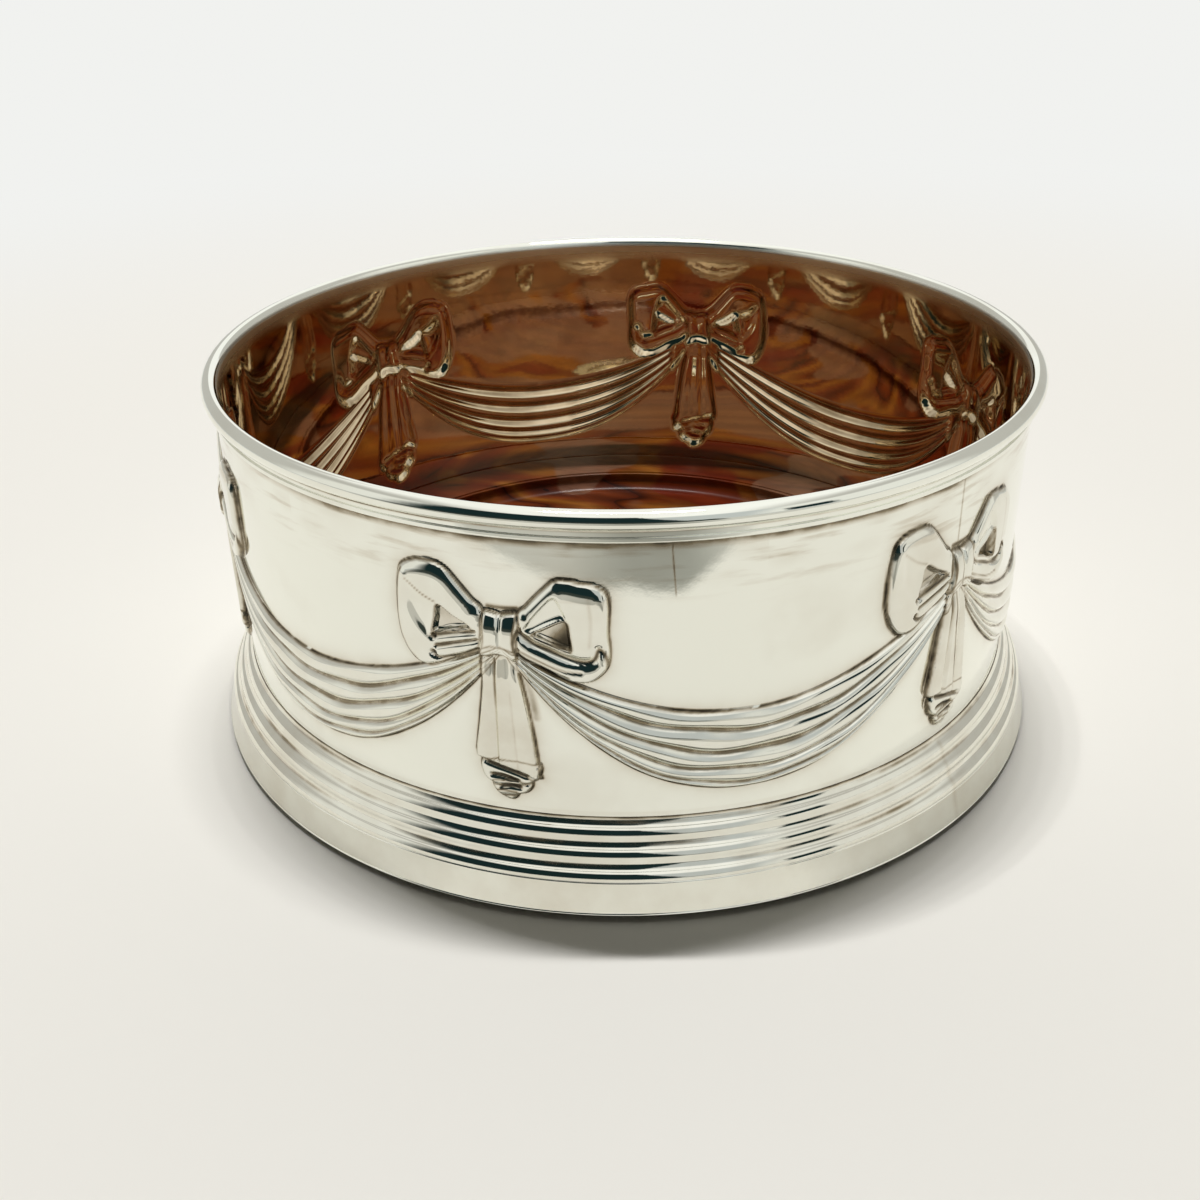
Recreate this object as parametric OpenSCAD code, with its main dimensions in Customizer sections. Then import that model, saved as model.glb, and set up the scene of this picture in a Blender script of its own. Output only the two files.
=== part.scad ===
// Wine bottle coaster: a stamped silver gallery of bows and swags between a rolled rim
// and a reeded foot, standing on a turned and polished wooden base lined with baize.
// Millimetres. The origin is the centre of the underside and +Z is up. A bow faces -Y.

/* [Gallery] */
// Radius of the gallery's inner face
gallery_inner_r = 61; // [55:1:70]
// Thickness of the silver sheet
sheet = 0.7; // [0.5:0.1:1.2]
// Height from the wooden shoulder to the top of the sheet
gallery_h = 50.6; // [48:0.1:70]
// Number of bows, with a swag between each two
bow_count = 6; // [5:1:7]

/* [Bows] */
// Distance from the knot to the side of a loop
loop_w = 13.8; // [11:0.2:14]
// Distance from the knot's middle to the top of a loop
loop_h = 9; // [7:0.2:9.6]
// Width of the knot
knot_w = 5; // [4:0.2:7]
// Height of the knot
knot_h = 6.4; // [5:0.2:8]
// Gap between the loops and the rim
loop_gap = 3.95; // [2:0.05:5]
// Gap between the hanging ends and the foot
tail_gap = 2; // [1:0.1:4]
// Width across the hanging ends at their widest
tail_w = 8.4; // [6:0.2:11]
// How far the loops stand out from the wall
loop_relief = 1; // [0.5:0.1:1.4]
// How far the knot stands out from the wall
knot_relief = 1.5; // [0.8:0.1:1.8]
// How far the hanging ends stand out from the wall
tail_relief = 1.2; // [0.6:0.1:1.5]

/* [Swags] */
// Gap between the lowest fold and the foot
swag_gap = 4; // [2:0.1:6]
// Depth of the bundle of folds at the middle of a swag
swag_depth = 12.2; // [9:0.2:14]
// Groove between two folds at the middle of a swag
fold_gap = 0.4; // [0.3:0.05:0.6]
// How far the folds stand out from the wall
fold_relief = 0.8; // [0.4:0.1:1.2]

/* [Rim] */
// Radius of the rolled edge's section
rim_roll_r = 1.3; // [1:0.1:1.8]
// Distance from the sheet's outer face to the middle of the roll
rim_roll_out = 0.3; // [0:0.05:0.6]
// Height of the rim below the middle of the roll
rim_skirt_h = 3.4; // [2.8:0.1:4.4]
// Distance from the sheet's outer face to the plain face below the roll
rim_skirt_out = 0.35; // [0.25:0.05:0.6]
// Distance from the sheet's outer face to the front of the small bead
rim_bead_out = 0.55; // [0.4:0.05:0.65]
// Radius of the small bead's section
rim_bead_r = 0.7; // [0.6:0.05:0.9]

/* [Foot] */
// How far the foot stands out from the gallery
foot_w = 5.2; // [4.9:0.1:8]
// How far the plain band flares out to its lower edge
band_flare = 0.4; // [0.2:0.05:0.6]
// Height of the plain band, up to the top of the lowest reed
band_h = 6; // [5.6:0.1:7]
// Number of reeds
reed_count = 3; // [2:1:3]
// Step outwards from one reed to the next
reed_step_r = 1.6; // [1.4:0.05:1.7]
// Step down from one reed to the next
reed_step_h = 2.5; // [2:0.1:2.6]
// Radius of a reed's round shoulder
shoulder_r = 0.95; // [0.6:0.05:1]
// Radius of the hollow between two reeds
hollow_r = 0.75; // [0.4:0.05:0.9]
// Height of the cove between the gallery and the top reed
cove_h = 1.2; // [0.8:0.1:1.6]
// Thickness of the foot's drawn sheet
foot_sheet = 0.9; // [0.7:0.05:1.1]
// Width of the lip that is turned in under the wood
lip_w = 2.3; // [1.8:0.1:3]
// Thickness of the turned-in lip
lip_t = 0.6; // [0.4:0.1:0.9]

/* [Wooden base] */
// Thickness of the flange that the gallery stands on
flange_h = 4; // [3:0.5:5]
// Height of the border above the flange
border_h = 6.9; // [6:0.1:8]
// Width of the flat border inside the gallery
border_w = 10; // [6:0.5:14]
// Depth of the round dish below the border
dish_depth = 3; // [2.7:0.1:4]
// Radius of the cove round the dish
dish_cove_r = 2.2; // [1:0.1:2.6]
// Width of the turned groove in the border
groove_w = 0.7; // [0.4:0.1:1.2]

/* [Boss] */
// Radius of the silver boss
boss_r = 7.6; // [6:0.1:18]
// Height of the boss's flat edge above the dish
boss_edge_h = 0.6; // [0.4:0.1:1]
// Width of the flat edge round the dome
boss_edge_w = 2; // [1:0.1:3]
// Height of the dome above the flat edge
boss_dome = 1.1; // [0.6:0.1:2]
// Depth of the seat cut for the boss
boss_seat = 0.6; // [0.4:0.1:1]
// Radius of the pin under the boss
pin_r = 1.2; // [0.8:0.1:2]
// Length of the pin in the wood
pin_length = 5; // [3:0.5:6]

/* [Baize] */
// Height at which the baize lifts the silver off the table
baize_proud = 0.8; // [0.5:0.1:1.2]

/* [Hidden] */

$fn = 96;
// Facets round the large sphere that the boss's dome is cut from
dome_facets = 240;
// Gap left for solder or for a push fit
fit_gap = 0.05;
// Gap round the baize, inside the lip
baize_gap = 0.2;
// Length by which a cut runs past the face it opens
overrun = 1;

gallery_r = gallery_inner_r + sheet;
foot_r = gallery_r + foot_w;
band_r = foot_r - band_flare;
foot_top = baize_proud + band_h + (reed_count - 1) * reed_step_h + cove_h;
lip_top = baize_proud + lip_t;
shoulder_z = lip_top + flange_h;
gallery_top = shoulder_z + gallery_h;
knot_z = gallery_top - rim_skirt_h - loop_gap - loop_h;
tail_drop = knot_z - foot_top - tail_gap;
swag_drop = knot_z - foot_top - swag_gap;
border_z = shoulder_z + border_h;
dish_z = border_z - dish_depth;
flange_r = band_r - foot_sheet - fit_gap;
plug_r = gallery_inner_r - fit_gap;
dish_r = gallery_inner_r - border_w;
lip_r = foot_r - lip_w;

bow_pitch = 360 / bow_count;
swag_half_angle = bow_pitch / 2;

// Outlines of the bow as shares of the loop's width and height, from the knot's middle
right_loop_shares = [
    [0.1, 0.3], [0.3, 0.64], [0.43, 0.88], [0.6, 0.97], [0.84, 0.93], [0.95, 0.76],
    [0.97, 0.4], [0.96, -0.2], [0.93, -0.46], [0.82, -0.64], [0.66, -0.72], [0.44, -0.66], [0.1, -0.42]];
right_eye_shares = [[0.27, 0.08], [0.48, 0.32], [0.6, 0.27], [0.64, 0.04], [0.6, -0.14]];
left_loop_shares = [
    [-0.1, 0.3], [-0.38, 0.7], [-0.54, 0.94], [-0.72, 1], [-0.92, 0.93], [-1, 0.74],
    [-1.01, 0.2], [-0.98, -0.24], [-0.93, -0.46], [-0.82, -0.64], [-0.6, -0.72], [-0.1, -0.42]];
left_eye_shares = [[-0.6, 0.38], [-0.3, 0.08], [-0.65, -0.1]];
// Outline of the knot as shares of its half width and half height
knot_shares = [[-0.95, 1], [-0.1, 1.04], [0.92, 0.96], [0.82, 0], [0.8, -1], [0, -0.94], [-0.96, -1], [-0.9, 0]];
// Outline of the hanging ends as shares of their half width and of their drop
tail_shares = [
    [-0.55, -0.1], [0.4, -0.1], [0.97, -0.79], [0.92, -0.84], [0.68, -0.86], [0.6, -0.94], [0.24, -0.955],
    [0.05, -1], [-0.46, -0.955], [-0.45, -0.91], [-0.85, -0.85], [-0.8, -0.755], [-1.04, -0.73]];
// Lower edges of the folds as shares of the swag's depth, measured down from its top edge
fold_edge_shares = [0, 0.23, 0.48, 0.575, 0.71, 0.9, 1];
// Depth below the knot's middle at which the top and bottom folds meet, as shares of its height
gather_shares = [0.15, 0.32];
// How steeply the top and bottom folds rise towards the knots
swag_powers = [1.8, 2.35];
// Straight stretches in half a swag
swag_steps = 5;
// How far the grooves reach from a swag's middle, as a share of the way to the knots
groove_reach_share = 0.6;

// Rounds the corners of an outline by cutting each one at a quarter of its two sides.
function rounded(points) = [
    for (i = [0 : len(points) - 1])
        let (a = points[i], b = points[(i + 1) % len(points)])
        each [a * 3 / 4 + b / 4, a / 4 + b * 3 / 4]];

// Turns shares into an outline with the knot's middle at the origin.
function scaled(shares, w, h) = [for (p = shares) [p[0] * w, p[1] * h]];

function lerp(pair, share) = pair[0] + (pair[1] - pair[0]) * share;

// Height of a fold's edge, from the knot's middle, at an angle from the middle of the swag.
function swag_height(share, angle) =
    let (
        middle = swag_depth - swag_drop - share * swag_depth,
        end = -lerp(gather_shares, share) * knot_h,
        steepness = lerp(swag_powers, share))
    middle + (end - middle) * pow(abs(angle) / swag_half_angle, steepness);

// Outline of one fold between two edges, seen along the swag's middle.
function fold_outline(upper, lower) =
    let (angles = [for (i = [-swag_steps : swag_steps]) swag_half_angle * i / swag_steps])
    concat(
        [for (a = angles) [gallery_r * sin(a), swag_height(upper, a)]],
        [for (i = [len(angles) - 1 : -1 : 0])
            let (
                a = angles[i],
                way = abs(a) / swag_half_angle,
                gap = fold_gap * max(0, 1 - pow(way / groove_reach_share, 2)))
            [gallery_r * sin(a), swag_height(lower, a) + gap]]);

// Raises a flat outline from the wall, with the face that looks outwards curved as the wall is.
module raised(relief, angle) {
    rotate([0, 0, angle])
        intersection() {
            translate([0, 0, knot_z])
                rotate([90, 0, 0])
                    linear_extrude(height = gallery_r + relief + overrun) children();
            rotate_extrude()
                translate([gallery_r - sheet / 2, shoulder_z])
                    square([sheet / 2 + relief, gallery_h]);
        }
}

module loops() {
    difference() {
        polygon(rounded(scaled(right_loop_shares, loop_w, loop_h)));
        polygon(scaled(right_eye_shares, loop_w, loop_h));
    }
    difference() {
        polygon(rounded(scaled(left_loop_shares, loop_w, loop_h)));
        polygon(scaled(left_eye_shares, loop_w, loop_h));
    }
}

module knot() {
    polygon(rounded(scaled(knot_shares, knot_w / 2, knot_h / 2)));
}

module tails() {
    polygon(scaled(tail_shares, tail_w / 2, tail_drop));
}

module folds() {
    for (i = [0 : len(fold_edge_shares) - 2])
        polygon(fold_outline(fold_edge_shares[i], fold_edge_shares[i + 1]));
}

module gallery() {
    color("gainsboro") {
        rotate_extrude()
            translate([gallery_inner_r, shoulder_z]) square([sheet, gallery_h]);
        for (i = [0 : bow_count - 1]) {
            raised(loop_relief, i * bow_pitch) loops();
            raised(tail_relief, i * bow_pitch) tails();
            raised(knot_relief, i * bow_pitch) knot();
            raised(fold_relief, (i + 1 / 2) * bow_pitch) folds();
        }
    }
}

// The rolled edge sits on the top of the sheet and laps its outer face.
module rim_wire() {
    roll_z = gallery_top + fit_gap;
    bead_x = gallery_r + rim_bead_out - rim_bead_r;
    bead_z = roll_z - rim_skirt_h + rim_bead_r;
    color("gainsboro")
        rotate_extrude()
            difference() {
                union() {
                    translate([gallery_r + rim_roll_out, roll_z]) circle(r = rim_roll_r);
                    translate([gallery_r, bead_z]) square([rim_skirt_out, roll_z - bead_z]);
                    translate([bead_x, bead_z]) circle(r = rim_bead_r);
                }
                square([gallery_inner_r, gallery_top + 2 * rim_roll_r]);
                square([gallery_r + fit_gap, roll_z]);
            }
}

// One reed's section: a plate with a round upper corner.
module reed_section(r, top) {
    translate([0, baize_proud]) square([r - shoulder_r, top]);
    translate([0, baize_proud]) square([r, top - shoulder_r]);
    translate([r - shoulder_r, baize_proud + top - shoulder_r]) circle(r = shoulder_r);
}

// The hollow that joins the side of one reed to the top of the next.
module hollow_section(r, top, radius) {
    difference() {
        translate([r, baize_proud + top]) square(radius);
        translate([r + radius, baize_proud + top + radius]) circle(r = radius);
    }
}

// The foot is drawn sheet, so its inside follows the reeds and the lip is turned in below.
module foot_moulding() {
    top_reed = reed_count - 1;
    function reed_r(i) = band_r - i * reed_step_r;
    function reed_top(i) = band_h + i * reed_step_h;
    flare_top = baize_proud + band_h - shoulder_r;
    cove_r = reed_r(top_reed) - gallery_r - shoulder_r;
    color("gainsboro")
        rotate_extrude()
            difference() {
                union() {
                    polygon([
                        [lip_r, baize_proud], [foot_r, baize_proud], [band_r, flare_top], [lip_r, flare_top]]);
                    for (i = [0 : top_reed])
                        reed_section(reed_r(i), reed_top(i));
                    for (i = [1 : top_reed])
                        hollow_section(reed_r(i), reed_top(i - 1), hollow_r);
                    translate([gallery_r, baize_proud + reed_top(top_reed)])
                        difference() {
                            square([cove_r, cove_h]);
                            translate([cove_r, cove_h]) scale([cove_r, cove_h]) circle(r = 1);
                        }
                }
                square([gallery_r + fit_gap, gallery_top]);
                square([lip_r, lip_top]);
                for (i = [0 : top_reed])
                    translate([0, lip_top])
                        square([reed_r(i) - foot_sheet, reed_top(i) - lip_t - foot_sheet]);
            }
}

module wood_base() {
    color("saddlebrown")
        difference() {
            rotate_extrude()
                difference() {
                    union() {
                        translate([0, lip_top]) square([flange_r, flange_h]);
                        translate([0, lip_top]) square([plug_r, border_z - lip_top]);
                    }
                    translate([0, dish_z]) square([dish_r - dish_cove_r, dish_depth + overrun]);
                    translate([0, dish_z + dish_cove_r])
                        square([dish_r, dish_depth - dish_cove_r + overrun]);
                    translate([dish_r - dish_cove_r, dish_z + dish_cove_r]) circle(r = dish_cove_r);
                    translate([dish_r + groove_w, border_z]) circle(r = groove_w / 2);
                }
            translate([0, 0, dish_z - boss_seat])
                cylinder(r = boss_r + fit_gap, h = boss_seat + overrun);
            translate([0, 0, dish_z - boss_seat - pin_length])
                cylinder(r = pin_r + fit_gap, h = pin_length + overrun);
        }
}

// The boss is a shallow dome on a plain disc that is let into the wood.
module centre_boss() {
    cap_r = boss_r - boss_edge_w;
    cap_z = dish_z + boss_edge_h;
    dome_r = (cap_r * cap_r + boss_dome * boss_dome) / (2 * boss_dome);
    color("gainsboro") {
        translate([0, 0, dish_z - boss_seat]) cylinder(r = boss_r, h = boss_seat + boss_edge_h);
        intersection() {
            translate([0, 0, cap_z + boss_dome - dome_r])
                rotate([90, 0, 0]) sphere(r = dome_r, $fn = dome_facets);
            translate([0, 0, dish_z]) cylinder(r = cap_r, h = boss_edge_h + boss_dome + overrun);
        }
    }
}

module boss_pin() {
    color("silver")
        translate([0, 0, dish_z - boss_seat - pin_length])
            cylinder(r = pin_r, h = pin_length);
}

module baize_pad() {
    color("darkgreen") cylinder(r = lip_r - baize_gap, h = lip_top);
}

gallery();
rim_wire();
foot_moulding();
wood_base();
centre_boss();
boss_pin();
baize_pad();
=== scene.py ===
import math

import bpy
import numpy as np
from mathutils import Matrix, Vector


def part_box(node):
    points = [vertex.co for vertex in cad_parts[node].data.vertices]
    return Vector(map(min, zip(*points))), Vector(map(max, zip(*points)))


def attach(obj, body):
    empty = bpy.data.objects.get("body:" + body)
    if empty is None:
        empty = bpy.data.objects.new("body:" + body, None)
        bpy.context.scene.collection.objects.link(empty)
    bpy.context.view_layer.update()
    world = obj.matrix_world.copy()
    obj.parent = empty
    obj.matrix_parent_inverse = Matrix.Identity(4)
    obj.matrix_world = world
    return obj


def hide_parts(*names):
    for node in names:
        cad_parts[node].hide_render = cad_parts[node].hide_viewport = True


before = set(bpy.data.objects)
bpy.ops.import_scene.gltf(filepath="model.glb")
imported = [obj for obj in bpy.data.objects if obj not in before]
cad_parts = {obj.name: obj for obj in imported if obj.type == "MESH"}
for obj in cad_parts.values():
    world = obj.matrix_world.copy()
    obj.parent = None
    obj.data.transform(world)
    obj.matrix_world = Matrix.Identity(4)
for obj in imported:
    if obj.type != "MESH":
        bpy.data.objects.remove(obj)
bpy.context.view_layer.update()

MM = 0.001

# The stage: a cream floor that runs out of sight, under a long narrow lamp and five small
# ones a little behind the coaster. The silver also shows a dark sector of the room in
# front, grey and dark parts of the floor outside the picture, and a bright ceiling.
VIEW_TURN = math.radians(15)
VIEW_ELEVATION = math.radians(29.034)
VIEW_ROLL = math.radians(-1.014)
VIEW_DISTANCE = 234.9 * MM
VIEW_RIGHT, VIEW_UP = -4.06 * MM, 9.13 * MM
FRAME_WIDTH = 36.0
LENS = 40.32
FLOOR_SIZE = 6.0
FLOOR_COLOUR = (0.865, 0.845, 0.795, 1)
BACKGROUND = (0.88, 0.885, 0.865, 1)
ROOM_LIGHT = ((0.02, 0.018, 0.013, 1), (0.62, 0.61, 0.57, 1))
BACK_COLOUR = (0.96, 0.96, 0.94, 1)
SIDE_COLOUR = (0.52, 0.51, 0.48, 1)
FRONT_COLOUR = (0.54, 0.57, 0.575, 1)
PALE_COLOUR = (0.82, 0.82, 0.78, 1)
MIDDLE_FLOOR = (0.35, 0.35, 0.32, 1)
FAR_FLOOR = (0.6, 0.62, 0.61, 1)
CEILING_COLOUR = (1.0, 1.0, 0.98, 1)
DARK_COLOUR = (0.01, 0.024, 0.026, 1)
DARK_FLOOR = (0.03, 0.04, 0.035, 1)
BACK_HALF, CEILING_HALF, CEILING_START = (0.24, 0.3), (0.3, 0.65), (36, 46)
PALE_LEFT, PALE_RIGHT, FRONT_START = (-0.35, -0.25), (0.45, 0.62), (-0.2, 0.1)
SOFT_LIGHT_START = (-0.7, 0.0)
DARK_BEARINGS = ((-66, -50), (12, 15))
DARK_LEAN, FLOOR_BEARING = 0.22, 8
SHAPE_BEARINGS = ((38, 41), (50, 54))
DARK_TOP, SHAPE_TOP = (45, 51), (16, 24)
DARK_FLOOR_START = (0.24, 0.34)
MIDDLE_START = (0.135, 0.144)
MIDDLE_SLOPES = ((-0.1, -0.1), (0.0, 0.33), (0.027, -0.5))
MIDDLE_FADES = ((-0.045, 0.005, 0.55, 1.0), (0.03, 0.075, 1.0, 0.4))
GLOW_SEEN, GLOW_MIRRORED = (0.17, 0.45), (0.35, 1.1)
LAMP_HEIGHT, LAMP_BACK, LAMP_LENGTH, LAMP_WIDTH, LAMP_POWER = 2.0, 0.306, 0.7, 0.05, 22.0
SPOT_PLACES, SPOT_SIZE, SPOT_POWER = (-0.3, -0.2, -0.1, 0.0, 0.1), 0.03, 2.1
bpy.context.scene.view_settings.view_transform = "Standard"


def new_material(name):
    """A fresh material with its node tree, its nodes and its Principled shader."""
    material = bpy.data.materials.new(name)
    material.use_nodes = True
    tree = material.node_tree
    return material, tree, tree.nodes, tree.nodes["Principled BSDF"]


def feed(tree, node, inputs):
    """Gives a node its inputs, by name or by number. Each is a value or another node's output."""
    for name, value in inputs.items():
        if isinstance(value, bpy.types.NodeSocket):
            tree.links.new(value, node.inputs[name])
        else:
            node.inputs[name].default_value = value


def math_node(tree, operation, *values, clamp=False):
    """The result of a Math node, whose values are numbers or the outputs of other nodes."""
    node = tree.nodes.new("ShaderNodeMath")
    node.operation = operation
    node.use_clamp = clamp
    feed(tree, node, dict(enumerate(values)))
    return node.outputs[0]


def times(tree, first, second):
    """One value times another."""
    return math_node(tree, "MULTIPLY", first, second)


def ramp(tree, value, start, end, low=0.0, high=1.0):
    """A smooth step from low to high as the value goes from start to end."""
    node = tree.nodes.new("ShaderNodeMapRange")
    node.interpolation_type = "SMOOTHSTEP"
    feed(tree, node, {"Value": value, "From Min": start, "From Max": end, "To Min": low, "To Max": high})
    return node.outputs["Result"]


def mix_colour(tree, factor, first, second, blend="MIX"):
    """The first colour at a factor of 0, the second at 1, or their product with MULTIPLY."""
    node = tree.nodes.new("ShaderNodeMix")
    node.data_type = "RGBA"
    node.blend_type = blend
    feed(tree, node, {0: factor, 6: first, 7: second})
    return node.outputs[2]


def set_camera():
    """The viewer stands back along the line of sight, moved a little right and up, and rolled."""
    sine, cosine = math.sin(VIEW_ELEVATION), math.cos(VIEW_ELEVATION)
    right = np.array([1.0, 0, 0])
    up = np.array([0, sine, cosine])
    back = np.array([0, -cosine, sine])
    eye = back * VIEW_DISTANCE + right * VIEW_RIGHT + up * VIEW_UP
    eye[2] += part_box("foot_moulding")[0].z
    rolled_right = right * math.cos(VIEW_ROLL) + up * math.sin(VIEW_ROLL)
    rolled_up = up * math.cos(VIEW_ROLL) - right * math.sin(VIEW_ROLL)
    pose = Matrix.Identity(4)
    for column, axis in enumerate((rolled_right, rolled_up, back, eye)):
        for row in range(3):
            pose[row][column] = axis[row]
    data = bpy.data.cameras.new("view")
    data.lens = LENS
    data.sensor_width = FRAME_WIDTH
    data.clip_start = MM
    camera = bpy.data.objects.new("view", data)
    camera.matrix_world = Matrix.Rotation(VIEW_TURN, 4, "Z") @ pose
    bpy.context.scene.collection.objects.link(camera)
    bpy.context.scene.camera = camera


def across_and_toward(tree, place):
    """How far a place lies to the viewer's right, and how far towards the viewer."""
    apart = tree.nodes.new("ShaderNodeSeparateXYZ")
    feed(tree, apart, {0: place})
    x, y = apart.outputs[0], apart.outputs[1]
    sine, cosine = math.sin(VIEW_TURN), math.cos(VIEW_TURN)
    across = math_node(tree, "ADD", times(tree, x, cosine), times(tree, y, sine))
    toward = math_node(tree, "SUBTRACT", times(tree, x, sine), times(tree, y, cosine))
    return across, toward, apart.outputs[2]


def in_front(tree, across, toward, elevation=None):
    """1 in the dark sector, found by its bearing in degrees from the viewer's direction, and
    in a dark shape right of it. The sector's right edge leans, so that it reaches further at
    the horizon. On the floor, which has no elevation, it reaches further still, and the
    second shape is left out."""
    bearing = math_node(tree, "DEGREES", math_node(tree, "ARCTAN2", across, toward))
    left = ramp(tree, bearing, *DARK_BEARINGS[0])
    if elevation is None:
        bearing = math_node(tree, "SUBTRACT", bearing, FLOOR_BEARING)
        return times(tree, left, ramp(tree, bearing, *DARK_BEARINGS[1], 1.0, 0.0))
    shape = ramp(tree, bearing, *SHAPE_BEARINGS[0])
    for value, span in ((bearing, SHAPE_BEARINGS[1]), (elevation, SHAPE_TOP)):
        shape = times(tree, shape, ramp(tree, value, *span, 1.0, 0.0))
    bearing = math_node(tree, "ADD", bearing, times(tree, elevation, DARK_LEAN))
    sector = times(tree, left, ramp(tree, bearing, *DARK_BEARINGS[1], 1.0, 0.0))
    return math_node(tree, "MAXIMUM", sector, shape)


def light_room():
    """The world: a blue-grey wall in front with pale sides, a white wall behind with grey
    sides, a ceiling that is bright overhead and greyer to both sides, and the dark sector.
    Rough surfaces get a weaker light from it, which comes mostly from behind the coaster."""
    world = bpy.data.worlds.new("room")
    bpy.context.scene.world = world
    world.use_nodes = True
    tree = world.node_tree
    background = tree.nodes["Background"]
    place = tree.nodes.new("ShaderNodeTexCoord").outputs["Generated"]
    across, toward, level = across_and_toward(tree, place)
    elevation = math_node(tree, "DEGREES", math_node(tree, "ARCSINE", level))
    beside = math_node(tree, "ABSOLUTE", across)
    behind = mix_colour(tree, ramp(tree, beside, *BACK_HALF), BACK_COLOUR, SIDE_COLOUR)
    ahead = mix_colour(tree, ramp(tree, across, *PALE_LEFT), PALE_COLOUR, FRONT_COLOUR)
    ahead = mix_colour(tree, ramp(tree, across, *PALE_RIGHT), ahead, PALE_COLOUR)
    walls = mix_colour(tree, ramp(tree, toward, *FRONT_START), behind, ahead)
    above = mix_colour(tree, ramp(tree, beside, *CEILING_HALF), CEILING_COLOUR, SIDE_COLOUR)
    walls = mix_colour(tree, ramp(tree, elevation, *CEILING_START), walls, above)
    dark = times(tree, in_front(tree, across, toward, elevation), ramp(tree, elevation, *DARK_TOP, 1.0, 0.0))
    rays = tree.nodes.new("ShaderNodeLightPath").outputs
    soft = mix_colour(tree, ramp(tree, toward, *SOFT_LIGHT_START, 1.0, 0.0), *ROOM_LIGHT)
    shining = mix_colour(tree, rays["Is Diffuse Ray"], mix_colour(tree, dark, walls, DARK_COLOUR), soft)
    feed(tree, background, {"Color": mix_colour(tree, rays["Is Camera Ray"], shining, BACKGROUND)})


def hang_lamp(name, across, width, depth, power):
    """A flat lamp that shines on the coaster, hung from the ceiling and turned with the view."""
    data = bpy.data.lights.new(name, "AREA")
    data.shape = "RECTANGLE"
    data.size, data.size_y = width, depth
    data.energy = power
    lamp = bpy.data.objects.new(name, data)
    place = Vector((across, LAMP_BACK, LAMP_HEIGHT))
    lamp.matrix_world = (
        Matrix.Rotation(VIEW_TURN, 4, "Z") @ Matrix.Translation(place)
        @ Matrix.Rotation(-math.atan2(LAMP_BACK, LAMP_HEIGHT), 4, "X"))
    bpy.context.scene.collection.objects.link(lamp)


def lay_floor():
    """A square sheet of matt cream card, so large that its edge is out of sight. In front of
    the coaster a part of it is grey, and a part further off is dark, which only the silver
    shows. The grey part's near edge is a broken line, and it is fainter to both sides. Far
    away the card glows as brightly as the background, because the lamps don't reach it."""
    half = FLOOR_SIZE / 2
    mesh = bpy.data.meshes.new("floor")
    corners = [(-half, -half, 0), (half, -half, 0), (half, half, 0), (-half, half, 0)]
    mesh.from_pydata(corners, [], [(0, 1, 2, 3)])
    floor = bpy.data.objects.new("floor", mesh)
    bpy.context.scene.collection.objects.link(floor)
    material, tree, nodes, shader = new_material("cream_card")
    place = nodes.new("ShaderNodeTexCoord").outputs["Object"]
    across, toward = across_and_toward(tree, place)[:2]
    squares = [times(tree, value, value) for value in (across, toward)]
    far = math_node(tree, "SQRT", math_node(tree, "ADD", *squares))
    dark = times(tree, in_front(tree, across, toward), ramp(tree, far, *DARK_FLOOR_START))
    edge = toward
    for start, slope in MIDDLE_SLOPES:
        past = math_node(tree, "MAXIMUM", math_node(tree, "SUBTRACT", across, start), 0.0)
        edge = math_node(tree, "ADD", edge, times(tree, past, slope))
    rays = nodes.new("ShaderNodeLightPath").outputs
    seen = rays["Is Glossy Ray"]
    middle = times(tree, ramp(tree, edge, *MIDDLE_START), seen)
    for fade in MIDDLE_FADES:
        middle = times(tree, middle, ramp(tree, across, *fade))
    dark = times(tree, dark, seen)
    card = mix_colour(tree, middle, FLOOR_COLOUR, MIDDLE_FLOOR)
    card = mix_colour(tree, dark, card, DARK_FLOOR)
    feed(tree, shader, {"Base Color": card, "Roughness": 0.9, "Specular IOR Level": 0.1})
    glow = nodes.new("ShaderNodeEmission")
    horizon = mix_colour(tree, dark, mix_colour(tree, seen, BACKGROUND, FAR_FLOOR), DARK_FLOOR)
    feed(tree, glow, {"Color": horizon})
    both = nodes.new("ShaderNodeMixShader")
    looked_at = times(tree, ramp(tree, far, *GLOW_SEEN), rays["Is Camera Ray"])
    mirrored = times(tree, ramp(tree, far, *GLOW_MIRRORED), seen)
    share = math_node(tree, "MAXIMUM", looked_at, mirrored)
    feed(tree, both, {0: share, 1: shader.outputs[0], 2: glow.outputs[0]})
    feed(tree, nodes["Material Output"], {"Surface": both.outputs[0]})
    mesh.materials.append(material)


set_camera()
light_room()
lay_floor()
hang_lamp("long_lamp", 0.0, LAMP_LENGTH, LAMP_WIDTH, LAMP_POWER)
for place in SPOT_PLACES:
    hang_lamp("spot_lamp", place, SPOT_SIZE, SPOT_SIZE, SPOT_POWER)


# The gallery: thin silver sheet, stamped from the back with bows and with swags of
# folded cloth between them, and soldered into a ring at one of the bows. The hollows of
# the stamping show on the inside, and tarnish stays along the edges of the raised work.
# In a few places painted shade and painted dark reflection are laid in with the tarnish,
# and the inside is tinted brown, a painted reflection of the wood.
SILVER_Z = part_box("foot_moulding")[0].z / MM
SHEET_LOW, SHEET_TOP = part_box("gallery")[0].z / MM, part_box("gallery")[1].z / MM
INNER_R, OUTER_R = 61.0, 61.7
BOWS = 6
HALF_PITCH = math.pi * OUTER_R / BOWS
SEAM_BOW = 1
LOOP_HEIGHT, KNOT_HEIGHT, TAIL_HEIGHT, FOLD_HEIGHT = 1.05, 1.5, 1.1, 0.85
SAMPLE = 0.1


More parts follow.
